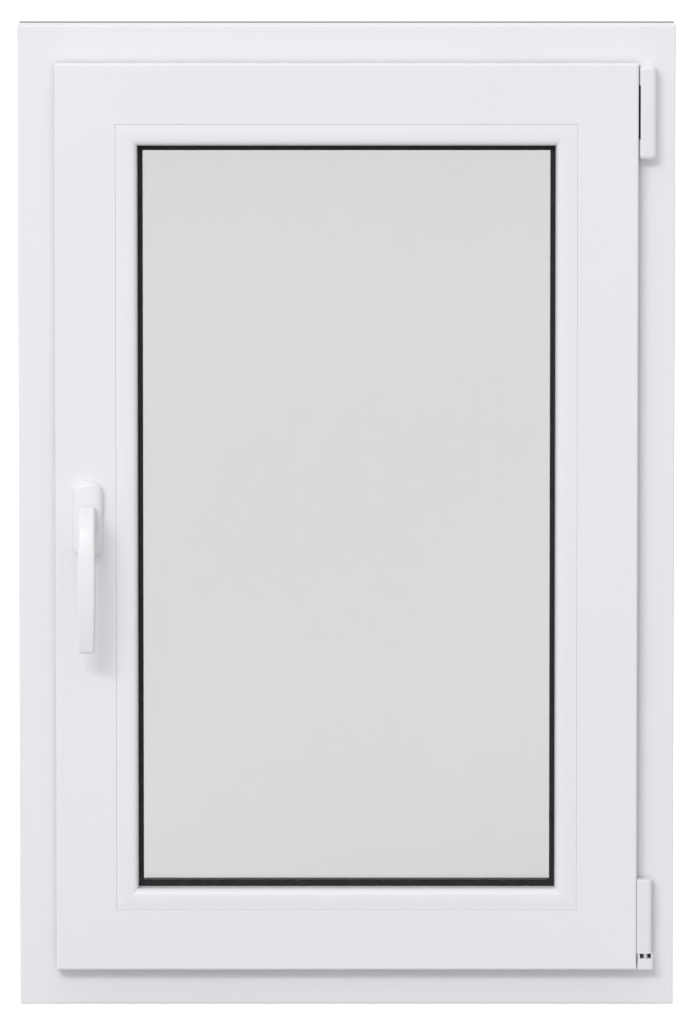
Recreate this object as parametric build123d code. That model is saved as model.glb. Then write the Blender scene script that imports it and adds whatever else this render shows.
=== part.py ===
from build123d import *
import math
import os

# A tilt and turn basement window of white plastic profiles, seen from the room.
# Millimetres. X runs along the width, Z up, and the room side faces -Y.
# The origin is the middle of the frame's underside.
# Sections are drawn in (u, v): u is the distance in from the outside edge of the
# frame, v is the same as Y.

# Overall size
frame_width = 600.0
frame_height = 900.0
frame_depth = 70.0

# Frame profile
frame_low_height = 42.0
frame_upstand_rise = 24.0
upstand_thickness = 17.0
upstand_slope = 6.0
frame_edge_radius = 1.5
soft_edge_radius = 1.0

# Sash profile
sash_reveal = 34.0
sash_proud = 18.0
sash_face_width = 55.4
sash_edge_radius = 2.0
hardware_gap = 12.0
seal_gap = 4.0
sash_nose_slope = 8.0

# Walls and webs of the hollow profiles
profile_wall = 3.0
profile_web = 1.5
room_chamber = 8.0
weather_chamber = 10.0
steel_wall = 1.5
steel_clearance = 0.3

# Groove that holds the fittings in the back of the sash
fitting_groove_width = 16.0
fitting_groove_depth = 3.0
fitting_groove_setback = 5.0

# Glazing bead
bead_width = 20.0
bead_step = 0.5
bead_depth = 17.0
bead_crown = 0.8
bead_crest_distance = 9.0
bead_crest_radius = 25.0
bead_nose_fall = 0.9
bead_nose_inset = 0.6
bead_nose_radius = 6.0
bead_joint_radius = 0.5
bead_foot_width = 4.6
bead_foot_depth = 5.0
bead_fit = 0.05

# Double glazing and its seals
pane_thickness = 4.0
glass_cavity = 16.0
glass_cover = 18.0
spacer_height = 12.0
inner_gasket_thickness = 3.5
inner_gasket_reach = 4.6
inner_gasket_seat = 5.4
outer_gasket_thickness = 4.0
outer_gasket_reach = 4.1
outer_gasket_seat = 6.0
block_height = 5.0
block_length = 100.0
block_corner_distance = 60.0

# Seals between sash and frame
sash_seal_setback = 2.0
sash_seal_width = 4.5
frame_seal_width = 6.0
seal_lip_radius = 1.0

# Sealing strip let into the outside edge
edge_strip_width = 20.0
edge_strip_thickness = 2.0

# Drainage on the weather side
drain_slot_length = 28.0
drain_slot_height = 5.0
drain_cap_length = 36.0
drain_cap_height = 12.0
drain_cap_depth = 4.0
drain_cap_bevel = 2.0
drain_slot_rise = 12.0
drain_side_distance = 130.0

# Handle
handle_height = 450.0
handle_inset = 63.5
rosette_width = 28.0
rosette_height = 72.0
rosette_depth = 11.0
rosette_corner_radius = 12.0
rosette_edge_bevel = 3.0
collar_radius = 9.5
collar_thickness = 2.0
running_gap = 0.3
neck_radius = 7.5
neck_insertion = 6.0
neck_fit = 0.05
neck_half_height = 13.0
lever_neck_width = 15.2
lever_width = 16.6
lever_end_width = 14.6
lever_length = 120.0
lever_reach = 56.0
lever_crest_fall = 58.0
lever_arch_radius = 190.0
lever_bend_tilt = 15.0
lever_inner_bend = 16.0
lever_thickness = 12.0
lever_end_thickness = 9.5
lever_edge_radius = 3.0
lever_back_bevel = 1.8
spindle_size = 7.0
spindle_fit = 0.05
spindle_socket_depth = 12.0
spindle_depth_in_sash = 28.0
spindle_hole_radius = 6.5

# Hinges
hinge_axis_inset = 25.8
hinge_axis_stand_off = 10.5
hinge_cover_proud = 17.5
hinge_arm_thickness = 2.5
hinge_arm_length = 18.0
pin_fit = 0.05
seal_notch_fit = 1.0

top_cap_gap = 0.6
top_cap_width = 15.6
top_cap_length = 86.5
top_cap_drop = 1.5
top_cap_wall = 1.5
top_cap_near_radius = 1.0
top_cap_far_radius = 5.0
top_cap_end_radius = 6.0
top_cap_corner_radius = 4.0
top_slot_length = 49.0
top_slot_bite = 1.1
top_knuckle_radius = 4.3
top_knuckle_fit = 0.3
top_pin_radius = 2.5
top_plate_thickness = 3.0
top_end_space = 6.0

bottom_near_radius = 0.6
bottom_block_gap = 1.0
bottom_block_width = 14.3
bottom_block_height = 9.9
bottom_block_radius = 2.0
bottom_block_rise = 0.6
bottom_window_height = 4.2
bottom_collar_radius = 5.1
bottom_sleeve_gap = 0.2
bottom_sleeve_width = 13.7
bottom_sleeve_length = 68.3
bottom_sleeve_far_radius = 4.0
bottom_sleeve_end_radius = 1.5
bottom_pin_radius = 3.0
bottom_pin_length = 60.0
bottom_pin_seat = 6.0

# Planes of depth that the pieces share
frame_room_y = -frame_depth / 2
frame_weather_y = frame_depth / 2
upstand_room_y = frame_weather_y - upstand_thickness
sash_room_y = frame_room_y - sash_proud
sash_lip_back_y = frame_room_y - seal_gap
sash_weather_y = upstand_room_y - seal_gap
bead_room_y = sash_room_y + bead_step
bead_back_y = bead_room_y + bead_depth
inner_pane_y = bead_back_y + inner_gasket_thickness
spacer_y = inner_pane_y + pane_thickness
outer_pane_y = spacer_y + glass_cavity
outer_gasket_y = outer_pane_y + pane_thickness
sash_leg_y = outer_gasket_y + outer_gasket_thickness

# Distances in from the outside edge that the pieces share
frame_high_height = frame_low_height + frame_upstand_rise
sash_back = frame_low_height + hardware_gap
bead_joint = sash_reveal + sash_face_width
sight_line = bead_joint + bead_width
glass_edge = sight_line - glass_cover
rebate_floor = glass_edge - block_height
bead_groove_floor = bead_joint - bead_foot_width - bead_fit
bead_foot_y = bead_back_y - bead_foot_depth

# Places of the handle and of the hinge line
handle_x = -frame_width / 2 + handle_inset
rosette_front_y = sash_room_y - rosette_depth
hinge_x = frame_width / 2 - hinge_axis_inset
hinge_y = frame_room_y - hinge_axis_stand_off
sash_edge_x = frame_width / 2 - sash_reveal
sash_top_z = frame_height - sash_reveal
hinge_cover_y = frame_room_y - hinge_cover_proud
top_cap_top = sash_top_z - top_cap_drop
top_cap_base = top_cap_top - top_cap_length
bottom_block_base = sash_reveal + bottom_block_rise
bottom_block_top = bottom_block_base + bottom_block_height
bottom_cheek_top = bottom_block_top + bottom_window_height
bottom_sleeve_base = bottom_cheek_top + running_gap
bottom_sleeve_top = bottom_sleeve_base + bottom_sleeve_length

SIDES = ("top", "bottom", "left", "right")


def section(corners):
    """Closed section from (u, v, radius) corners; a radius of 0 stays sharp."""
    face = Polygon(*[(u, v) for u, v, _ in corners], align=None)
    for u, v, radius in corners:
        if radius:
            corner = face.vertices().sort_by_distance(Vector(u, v))[0]
            face = fillet(corner, radius)
    return face


def chamber(u_from, u_to, v_from, v_to):
    """Rectangular hollow of a profile between two distances and two depths."""
    return Polygon((u_from, v_from), (u_to, v_from), (u_to, v_to), (u_from, v_to), align=None)


def box_between(x_from, x_to, y_from, y_to, z_from, z_to):
    """Box that fills the space between three pairs of coordinates."""
    size = (x_to - x_from, y_to - y_from, z_to - z_from)
    return Pos(x_from, y_from, z_from) * Box(*size, align=(Align.MIN, Align.MIN, Align.MIN))


def upright_cylinder(radius, x, y, z_from, z_to):
    """Cylinder on a vertical axis between two heights."""
    base = (Align.CENTER, Align.CENTER, Align.MIN)
    return Pos(x, y, z_from) * Cylinder(radius, z_to - z_from, align=base)


def level_cylinder(radius, x, z, y_from, y_to):
    """Cylinder on an axis that runs from the room to the weather side."""
    circle = Plane(origin=(x, y_from, z), x_dir=(1, 0, 0), z_dir=(0, 1, 0)) * Circle(radius)
    return extrude(circle, amount=y_to - y_from)


def mitred_length(face, side):
    """One side of a four sided ring, cut at 45 degrees where it meets its neighbours."""
    length = frame_width if side in ("top", "bottom") else frame_height
    half = length / 2
    start = Plane(origin=(half, 0, 0), x_dir=(0, 0, 1), z_dir=(-1, 0, 0))
    bar = extrude(start * face, amount=length)
    corner_cut = Plane.XZ * Polygon((-half, 0), (half, 0), (0, half), align=None)
    bar = bar & extrude(corner_cut, amount=frame_depth + sash_proud, both=True)
    places = {
        "bottom": Pos(0, 0, 0),
        "top": Pos(0, 0, frame_height) * Rot(0, 180, 0),
        "left": Pos(-frame_width / 2, 0, frame_height / 2) * Rot(0, 90, 0),
        "right": Pos(frame_width / 2, 0, frame_height / 2) * Rot(0, -90, 0),
    }
    return places[side] * bar


def upright_bar(corners, z_from, z_to):
    """Bar on a plan of (x, y, radius) corners between two heights."""
    return Pos(0, 0, z_from) * extrude(section(corners), amount=z_to - z_from)


def rounded_plate(x, z, y_back, width, height, corner_radius, depth):
    """Plate with round corners that stands out towards the room."""
    back = Plane(origin=(x, y_back, z), x_dir=(1, 0, 0), z_dir=(0, -1, 0))
    return extrude(back * RectangleRounded(width, height, corner_radius), amount=depth)


def rounded_cover(left, right, near_radius, far_radius, back_y):
    """Plan of a hinge cover: flush front, a crisp corner at the sash and a round one away from it."""
    return [
        (left, back_y, 0),
        (left, hinge_cover_y, near_radius),
        (right, hinge_cover_y, far_radius),
        (right, back_y, 0),
    ]


def side_cut(corners):
    """Bar across the whole width on a side outline of (y, z, radius) corners."""
    return extrude(Plane.YZ * section(corners), amount=frame_width / 2, both=True)


def ring(face):
    """The four mitred lengths of a section joined into one ring."""
    joined = mitred_length(face, "top")
    for side in ("bottom", "left", "right"):
        joined = joined + mitred_length(face, side)
    return joined


def frame_steel_space():
    """Chamber of the frame that holds its steel, as (u_from, u_to, v_from, v_to)."""
    v_from = frame_room_y + profile_wall + room_chamber + profile_web
    v_to = frame_weather_y - profile_wall - weather_chamber - profile_web
    return (profile_wall, frame_low_height - profile_wall, v_from, v_to)


def sash_steel_space():
    """Chamber of the sash that holds its steel, as (u_from, u_to, v_from, v_to)."""
    u_from = sash_back + fitting_groove_depth + profile_wall
    u_to = bead_groove_floor - profile_wall
    v_from = sash_room_y + profile_wall + room_chamber + profile_web
    v_to = sash_leg_y - profile_web
    return (u_from, u_to, v_from, v_to)


def frame_section():
    """Frame profile: low room side, upstand on the weather side, chambers inside."""
    strip = edge_strip_thickness
    face = section([
        (0, frame_room_y, frame_edge_radius),
        (frame_low_height, frame_room_y, soft_edge_radius),
        (frame_low_height, upstand_room_y, 0),
        (frame_high_height, upstand_room_y, soft_edge_radius),
        (frame_high_height, frame_weather_y - upstand_slope, soft_edge_radius),
        (frame_high_height - upstand_slope, frame_weather_y, soft_edge_radius),
        (strip, frame_weather_y, 0),
        (strip, frame_weather_y - edge_strip_width, 0),
        (0, frame_weather_y - edge_strip_width, 0),
    ])
    u_from, u_to, v_from, v_to = frame_steel_space()
    weather_from = v_to + profile_web
    face -= chamber(u_from, u_to, frame_room_y + profile_wall, v_from - profile_web)
    face -= chamber(u_from, u_to, v_from, v_to)
    face -= chamber(strip + profile_wall, u_to, weather_from, weather_from + weather_chamber)
    upstand_to = frame_high_height - profile_wall - upstand_slope
    upstand_from = frame_low_height - profile_wall + profile_web
    face -= chamber(upstand_from, upstand_to, upstand_room_y + profile_wall, frame_weather_y - profile_wall)
    return face


def sash_section():
    """Sash profile: lip over the frame, fitting groove, glazing rebate and weather leg."""
    groove_from = sash_lip_back_y + fitting_groove_setback
    groove_to = groove_from + fitting_groove_width
    groove_floor = sash_back + fitting_groove_depth
    face = section([
        (sash_reveal, sash_room_y, sash_edge_radius),
        (bead_joint, sash_room_y, bead_joint_radius),
        (bead_joint, bead_foot_y - bead_fit, 0),
        (bead_groove_floor, bead_foot_y - bead_fit, 0),
        (bead_groove_floor, bead_back_y, 0),
        (rebate_floor, bead_back_y, 0),
        (rebate_floor, sash_leg_y, 0),
        (sight_line, sash_leg_y, soft_edge_radius),
        (sight_line, sash_weather_y - sash_nose_slope, soft_edge_radius),
        (sight_line - sash_nose_slope, sash_weather_y, soft_edge_radius),
        (sash_back, sash_weather_y, soft_edge_radius),
        (sash_back, groove_to, 0),
        (groove_floor, groove_to, 0),
        (groove_floor, groove_from, 0),
        (sash_back, groove_from, 0),
        (sash_back, sash_lip_back_y, 0),
        (sash_reveal, sash_lip_back_y, soft_edge_radius),
    ])
    u_from, u_to, v_from, v_to = sash_steel_space()
    room_from = sash_room_y + profile_wall
    room_to = v_from - profile_web
    face -= chamber(sash_reveal + profile_wall, sash_back, room_from, room_to)
    face -= chamber(sash_back + profile_web, bead_groove_floor - profile_wall, room_from, room_to)
    face -= chamber(u_from, u_to, v_from, v_to)
    leg_to = sight_line - sash_nose_slope - profile_wall
    face -= chamber(u_from, leg_to, sash_leg_y + profile_wall, sash_weather_y - profile_wall)
    return face


def bead_section():
    """Glazing bead: a low crown beside the sash, a nose down to the glass, a clip foot."""
    side = bead_joint + bead_fit
    foot_end = bead_groove_floor + bead_fit
    foot_back = bead_back_y - bead_fit
    return section([
        (side, bead_room_y, bead_joint_radius),
        (sight_line - bead_crest_distance, bead_room_y - bead_crown, bead_crest_radius),
        (sight_line - bead_nose_inset, bead_room_y + bead_nose_fall, bead_nose_radius),
        (sight_line, bead_back_y, 0),
        (rebate_floor + bead_fit, bead_back_y, 0),
        (rebate_floor + bead_fit, foot_back, 0),
        (foot_end, foot_back, 0),
        (foot_end, bead_foot_y, 0),
        (side, bead_foot_y, 0),
    ])


def steel_section(space):
    """Steel box that fills a chamber with a small clearance."""
    u_from, u_to, v_from, v_to = space
    gap = steel_clearance
    outside = chamber(u_from + gap, u_to - gap, v_from + gap, v_to - gap)
    inset = gap + steel_wall
    return outside - chamber(u_from + inset, u_to - inset, v_from + inset, v_to - inset)


def inner_gasket_section():
    """Black seal between bead and glass, with the lip that shows round the pane."""
    lip = sight_line + inner_gasket_reach
    return section([
        (sight_line - inner_gasket_seat, bead_back_y, 0),
        (lip, bead_back_y, seal_lip_radius),
        (lip, inner_pane_y, 0),
        (sight_line - inner_gasket_seat, inner_pane_y, 0),
    ])


def outer_gasket_section():
    """Black seal between the outer pane and the weather leg of the sash."""
    lip = sight_line + outer_gasket_reach
    return section([
        (sight_line - outer_gasket_seat, outer_gasket_y, 0),
        (lip, outer_gasket_y, 0),
        (lip, sash_leg_y, seal_lip_radius),
        (sight_line - outer_gasket_seat, sash_leg_y, 0),
    ])


def sash_seal_section():
    """Seal behind the lip of the sash that presses on the frame."""
    u_from = sash_reveal + sash_seal_setback
    return chamber(u_from, u_from + sash_seal_width, sash_lip_back_y, frame_room_y)


def frame_seal_section():
    """Seal on the upstand that the sash closes against."""
    u_from = frame_high_height - frame_seal_width
    return section([
        (u_from, sash_weather_y, 0),
        (frame_high_height, sash_weather_y, seal_lip_radius),
        (frame_high_height, upstand_room_y, 0),
        (u_from, upstand_room_y, 0),
    ])


def edge_strip_section():
    """Flat strip let into the outside edge next to the weather face."""
    strip_from = frame_weather_y - edge_strip_width
    return chamber(0, edge_strip_thickness, strip_from, frame_weather_y)


def drain_positions():
    """Middles of the two drainage slots along the bottom of the frame."""
    offset = frame_width / 2 - drain_side_distance
    return (-offset, offset)


def drain_slots():
    """Slots through the weather wall of the bottom frame length."""
    wall_from = frame_weather_y - 2 * profile_wall
    low = drain_slot_rise
    high = drain_slot_rise + drain_slot_height
    half = drain_slot_length / 2
    slots = [
        box_between(x - half, x + half, wall_from, frame_weather_y, low, high)
        for x in drain_positions()
    ]
    return slots[0] + slots[1]


def drain_cap(x):
    """Low hood over one drainage slot, open underneath."""
    middle = drain_slot_rise + drain_slot_height / 2
    low = middle - drain_cap_height / 2
    high = middle + drain_cap_height / 2
    half = drain_cap_length / 2
    hood = box_between(x - half, x + half, frame_weather_y, frame_weather_y + drain_cap_depth, low, high)
    hood = chamfer(hood.edges().filter_by(Axis.Y), drain_cap_bevel)
    hood = chamfer(hood.faces().sort_by(Axis.Y)[-1].edges(), drain_cap_bevel / 2)
    room = box_between(
        x - half + profile_wall, x + half - profile_wall,
        frame_weather_y, frame_weather_y + drain_cap_depth - profile_web,
        low, high - profile_wall,
    )
    return hood - room


def spindle_hole():
    """Round hole for the spindle through the room side of the sash."""
    depth = sash_room_y + spindle_depth_in_sash + profile_wall
    return level_cylinder(spindle_hole_radius, handle_x, handle_height, sash_room_y, depth)


def glass_pane(y_from):
    """One sheet of glass with its room side at the given depth."""
    half = frame_width / 2 - glass_edge
    return box_between(
        -half, half, y_from, y_from + pane_thickness, glass_edge, frame_height - glass_edge
    )


def spacer_section():
    """Bar that keeps the two panes apart round their edge."""
    return chamber(glass_edge, glass_edge + spacer_height, spacer_y, outer_pane_y)


def glazing_blocks():
    """Packers that the glass stands on, two below and two above."""
    middle = frame_width / 2 - glass_edge - block_corner_distance - block_length / 2
    half = block_length / 2
    blocks = []
    for x in (-middle, middle):
        for z in (rebate_floor, frame_height - glass_edge):
            blocks.append(box_between(
                x - half, x + half, inner_pane_y, outer_gasket_y, z, z + block_height
            ))
    return Compound(children=blocks)


def rosette():
    """Rounded plate of the handle with the bore that the lever turns in."""
    plate = rounded_plate(
        handle_x, handle_height, sash_room_y,
        rosette_width, rosette_height, rosette_corner_radius, rosette_depth,
    )
    plate = chamfer(plate.faces().sort_by(Axis.Y)[0].edges(), rosette_edge_bevel)
    bore_end = rosette_front_y + neck_insertion + running_gap
    plate -= level_cylinder(neck_radius + neck_fit, handle_x, handle_height, rosette_front_y, bore_end)
    plate -= level_cylinder(spindle_hole_radius, handle_x, handle_height, bore_end, sash_room_y)
    return plate


def lever_side():
    """Side outline of the lever, drawn in (y, z) from the spindle axis."""
    root = rosette_front_y - running_gap - collar_thickness
    arch = Vector(sash_room_y - lever_reach + lever_arch_radius, -lever_crest_fall)
    inner_radius = lever_arch_radius - lever_thickness
    inner_end_radius = lever_arch_radius - lever_end_thickness
    inner_middle_radius = (inner_radius + inner_end_radius) / 2
    end_angle = -math.asin((lever_length - lever_crest_fall) / lever_arch_radius)
    bend_angle = math.radians(lever_bend_tilt)

    def on_arch(radius, angle):
        return (arch.X - radius * math.cos(angle), arch.Y + radius * math.sin(angle))

    bend_start = on_arch(lever_arch_radius, bend_angle)
    bend_radius = (neck_half_height - bend_start[1]) / (1 - math.sin(bend_angle))
    neck_top = (bend_start[0] + bend_radius * math.cos(bend_angle), neck_half_height)
    inner_corner = (arch.X - inner_radius * math.cos(bend_angle), -neck_half_height)
    with BuildSketch(Plane.YZ) as side:
        with BuildLine():
            Line((root, neck_half_height), neck_top)
            TangentArc(neck_top, bend_start, tangent=(-1, 0))
            ThreePointArc(
                bend_start, on_arch(lever_arch_radius, 0), on_arch(lever_arch_radius, end_angle)
            )
            Line(on_arch(lever_arch_radius, end_angle), on_arch(inner_end_radius, end_angle))
            ThreePointArc(
                on_arch(inner_end_radius, end_angle), on_arch(inner_middle_radius, end_angle / 2),
                on_arch(inner_radius, 0),
            )
            Line(on_arch(inner_radius, 0), inner_corner)
            Line(inner_corner, (root, -neck_half_height))
            Line((root, -neck_half_height), (root, neck_half_height))
        make_face()
        fillet(side.vertices().sort_by_distance(Vector(*inner_corner))[0], lever_inner_bend)
    return side.sketch


def lever_front():
    """Front outline of the lever, widest at its crest and slim at its end."""
    top = (lever_neck_width / 2, neck_half_height + lever_edge_radius)
    crest = (lever_width / 2, -lever_crest_fall)
    end = (lever_end_width / 2, -lever_length - lever_edge_radius)
    with BuildSketch(Plane.XZ) as front:
        with BuildLine():
            ThreePointArc(top, crest, end)
            Line(end, (-end[0], end[1]))
            ThreePointArc((-end[0], end[1]), (-crest[0], crest[1]), (-top[0], top[1]))
            Line((-top[0], top[1]), top)
        make_face()
    return front.sketch


def lever_edges(grip, root, towards_hand):
    """Long edges of the lever's outer or inner side, without those at its root."""
    halfway_y = sash_room_y - lever_reach + lever_thickness / 2
    beside = lever_end_width / 2 - lever_back_bevel / 4
    chosen = []
    for edge in grip.edges():
        place = edge.center()
        outer = place.Y < halfway_y or place.Z > 0 or place.Z < lever_edge_radius - lever_length
        if abs(place.X) > beside and place.Y < root - running_gap and outer == towards_hand:
            chosen.append(edge)
    return chosen


def lever_grip(root):
    """Bent lever on its spindle axis, bevelled towards the sash and rounded towards the hand."""
    grip = extrude(lever_side(), amount=lever_width, both=True)
    grip = grip & extrude(lever_front(), amount=2 * lever_reach, both=True)
    grip = chamfer(lever_edges(grip, root, towards_hand=False), lever_back_bevel)
    return fillet(lever_edges(grip, root, towards_hand=True), lever_edge_radius)


def lever():
    """Lever with its collar, the neck that turns in the rosette and the spindle socket."""
    collar_end = rosette_front_y - running_gap
    root = collar_end - collar_thickness
    neck_end = rosette_front_y + neck_insertion
    whole = Pos(handle_x, 0, handle_height) * lever_grip(root)
    whole += level_cylinder(collar_radius, handle_x, handle_height, root, collar_end)
    whole += level_cylinder(neck_radius, handle_x, handle_height, collar_end, neck_end)
    half = spindle_size / 2 + spindle_fit
    socket = box_between(
        handle_x - half, handle_x + half,
        neck_end - spindle_socket_depth, neck_end,
        handle_height - half, handle_height + half,
    )
    return whole - socket


def spindle():
    """Square bar from the lever into the sash."""
    half = spindle_size / 2
    start = rosette_front_y + neck_insertion - spindle_socket_depth
    return box_between(
        handle_x - half, handle_x + half,
        start, sash_room_y + spindle_depth_in_sash,
        handle_height - half, handle_height + half,
    )


def top_cap_sides():
    """Left and right side of the upper hinge's cover."""
    left = sash_edge_x + top_cap_gap
    return (left, left + top_cap_width)


def top_hinge_cap():
    """Cover of the upper hinge, open behind, with a slot for the arm."""
    left, right = top_cap_sides()
    plan = rounded_cover(left, right, top_cap_near_radius, top_cap_far_radius, frame_room_y)
    cover = upright_bar(plan, top_cap_base, top_cap_top) & side_cut([
        (frame_room_y, top_cap_base, 0),
        (hinge_cover_y, top_cap_base, top_cap_end_radius),
        (hinge_cover_y, top_cap_top, top_cap_end_radius),
        (frame_room_y, top_cap_top, 0),
    ])
    middle = (top_cap_base + top_cap_top) / 2
    cover = cover & rounded_plate(
        (left + right) / 2, middle, frame_room_y,
        top_cap_width, top_cap_length, top_cap_corner_radius, hinge_cover_proud,
    )
    wall = top_cap_wall
    space = upright_bar([
        (left + wall, frame_room_y, 0),
        (left + wall, hinge_cover_y + wall, 0),
        (right - wall, hinge_cover_y + wall, top_cap_far_radius - wall),
        (right - wall, frame_room_y, 0),
    ], top_cap_base + top_end_space, top_cap_top - top_end_space)
    low, high = top_slot_ends()
    slot = box_between(left, hinge_x, hinge_cover_y + wall, frame_room_y, low, high)
    bite = box_between(left, left + top_slot_bite, hinge_cover_y, frame_room_y, low, high)
    return cover - space - slot - bite


def top_slot_ends():
    """Heights between which the arm of the upper hinge turns on its pin."""
    slot_from = top_cap_base + (top_cap_length - top_slot_length) / 2
    return (slot_from, slot_from + top_slot_length)


def top_hinge_span():
    """Lowest and highest point of what the upper hinge's cover hides."""
    margin = top_end_space + top_knuckle_fit
    return (top_cap_base + margin, top_cap_top - margin)


def top_hinge_bearing():
    """Steel plate on the frame with two knuckles for the pin."""
    far = top_cap_sides()[1] - top_cap_wall - top_knuckle_fit
    low, high = top_hinge_span()
    slot_low, slot_high = top_slot_ends()
    plate_back = frame_room_y - top_plate_thickness
    bearing = box_between(hinge_x, far, plate_back, frame_room_y, low, high)
    for z_from, z_to in ((low, slot_low), (slot_high, high)):
        bearing += upright_cylinder(top_knuckle_radius, hinge_x, hinge_y, z_from, z_to)
        bearing += box_between(hinge_x, far, hinge_y, frame_room_y, z_from, z_to)
    return bearing - upright_cylinder(top_pin_radius + pin_fit, hinge_x, hinge_y, low, high)


def top_hinge_arm():
    """Arm from the pin of the upper hinge to the back of the sash lip."""
    slot_low, slot_high = top_slot_ends()
    low = slot_low + top_knuckle_fit
    high = slot_high - top_knuckle_fit
    arm_front = sash_lip_back_y
    arm_back = arm_front + hinge_arm_thickness
    eye = upright_cylinder(top_knuckle_radius, hinge_x, hinge_y, low, high)
    web = box_between(hinge_x - top_knuckle_radius, hinge_x, hinge_y, arm_back, low, high)
    leaf = box_between(sash_edge_x - hinge_arm_length, hinge_x, arm_front, arm_back, low, high)
    bore = upright_cylinder(top_pin_radius + pin_fit, hinge_x, hinge_y, low, high)
    return eye + web + leaf - bore


def top_hinge_pin():
    """Pin through the knuckles of the upper hinge."""
    low, high = top_hinge_span()
    return upright_cylinder(top_pin_radius, hinge_x, hinge_y, low, high)


def bottom_hinge_bearing():
    """Block on the frame that carries the pin, with two cheeks beside a window."""
    left = sash_edge_x + bottom_block_gap
    right = left + bottom_block_width
    plan = rounded_cover(left, right, bottom_near_radius, bottom_block_radius, frame_room_y)
    block = upright_bar(plan, bottom_block_base, bottom_cheek_top)
    half = bottom_collar_radius + pin_fit
    block -= box_between(
        hinge_x - half, hinge_x + half, hinge_cover_y, hinge_y + half, bottom_block_top, bottom_cheek_top
    )
    seat = bottom_block_top - bottom_pin_seat
    return block - upright_cylinder(bottom_pin_radius + pin_fit, hinge_x, hinge_y, seat, bottom_block_top)


def bottom_hinge_collar():
    """Dark bearing shell behind the pin, in the window of the block."""
    shell = upright_cylinder(bottom_collar_radius, hinge_x, hinge_y, bottom_block_top, bottom_cheek_top)
    shell -= upright_cylinder(
        bottom_pin_radius + pin_fit, hinge_x, hinge_y, bottom_block_top, bottom_cheek_top
    )
    half = bottom_collar_radius
    return shell - box_between(
        hinge_x - half, hinge_x + half, hinge_y - half, hinge_y, bottom_block_top, bottom_cheek_top
    )


def bottom_hinge_pin():
    """Pin that stands in the block and carries the sash."""
    base = bottom_block_top - bottom_pin_seat
    return upright_cylinder(bottom_pin_radius, hinge_x, hinge_y, base, base + bottom_pin_length)


def bottom_hinge_sleeve():
    """Sleeve of the sash that turns on the pin, closed at its top."""
    left = sash_edge_x + bottom_sleeve_gap
    right = left + bottom_sleeve_width
    plan = rounded_cover(left, right, bottom_near_radius, bottom_sleeve_far_radius, sash_lip_back_y)
    sleeve = upright_bar(plan, bottom_sleeve_base, bottom_sleeve_top) & side_cut([
        (sash_lip_back_y, bottom_sleeve_base, 0),
        (hinge_cover_y, bottom_sleeve_base, 0),
        (hinge_cover_y, bottom_sleeve_top, bottom_sleeve_end_radius),
        (sash_lip_back_y, bottom_sleeve_top, 0),
    ])
    bore_top = bottom_block_top - bottom_pin_seat + bottom_pin_length + running_gap
    bore = upright_cylinder(bottom_pin_radius + pin_fit, hinge_x, hinge_y, bottom_sleeve_base, bore_top)
    return sleeve - bore


def bottom_hinge_arm():
    """Arm from the sleeve to the back of the sash lip."""
    return box_between(
        sash_edge_x - hinge_arm_length, hinge_x + bottom_pin_radius,
        sash_lip_back_y, sash_lip_back_y + hinge_arm_thickness,
        bottom_sleeve_base, bottom_sleeve_top - bottom_sleeve_end_radius,
    )


def arm_notches():
    """Room for the two hinge arms in the seal that they cross."""
    slot_low, slot_high = top_slot_ends()
    spans = ((slot_low, slot_high), (bottom_sleeve_base, bottom_sleeve_top))
    inner_x = sash_edge_x - hinge_arm_length
    notches = [
        box_between(
            inner_x, frame_width / 2, sash_lip_back_y, frame_room_y,
            low - seal_notch_fit, high + seal_notch_fit,
        )
        for low, high in spans
    ]
    return notches[0] + notches[1]


def profile_nodes():
    """The mitred lengths of frame, sash, beads and edge strip, each under its own name."""
    nodes = {}
    for side in SIDES:
        nodes[f"frame_{side}"] = mitred_length(frame_section(), side)
        nodes[f"sash_{side}"] = mitred_length(sash_section(), side)
        nodes[f"bead_{side}"] = mitred_length(bead_section(), side)
        nodes[f"edge_strip_{side}"] = mitred_length(edge_strip_section(), side)
    nodes["frame_bottom"] -= drain_slots()
    nodes["sash_left"] -= spindle_hole()
    return nodes


def seal_nodes():
    """Seals round the glass and between sash and frame."""
    return {
        "bead_gasket": ring(inner_gasket_section()),
        "outer_gasket": ring(outer_gasket_section()),
        "sash_seal": ring(sash_seal_section()) - arm_notches(),
        "frame_seal": ring(frame_seal_section()),
    }


def glazing_nodes():
    """The sealed double pane and the blocks that it stands on."""
    return {
        "inner_pane": glass_pane(inner_pane_y),
        "outer_pane": glass_pane(outer_pane_y),
        "glass_spacer": ring(spacer_section()),
        "glazing_blocks": glazing_blocks(),
    }


def steel_nodes():
    """Steel inside the frame and the sash."""
    return {
        "frame_steel": ring(steel_section(frame_steel_space())),
        "sash_steel": ring(steel_section(sash_steel_space())) - spindle_hole(),
    }


def handle_nodes():
    """The window handle."""
    return {
        "handle_rosette": rosette(),
        "handle_lever": lever(),
        "handle_spindle": spindle(),
    }


def hinge_nodes():
    """The upper and the lower hinge."""
    return {
        "top_hinge_cap": top_hinge_cap(),
        "top_hinge_bearing": top_hinge_bearing(),
        "top_hinge_arm": top_hinge_arm(),
        "top_hinge_pin": top_hinge_pin(),
        "bottom_hinge_bearing": bottom_hinge_bearing(),
        "bottom_hinge_collar": bottom_hinge_collar(),
        "bottom_hinge_pin": bottom_hinge_pin(),
        "bottom_hinge_sleeve": bottom_hinge_sleeve(),
        "bottom_hinge_arm": bottom_hinge_arm(),
    }


def drain_nodes():
    """Hoods over the drainage slots."""
    return {"drain_caps": Compound(children=[drain_cap(x) for x in drain_positions()])}


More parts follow.
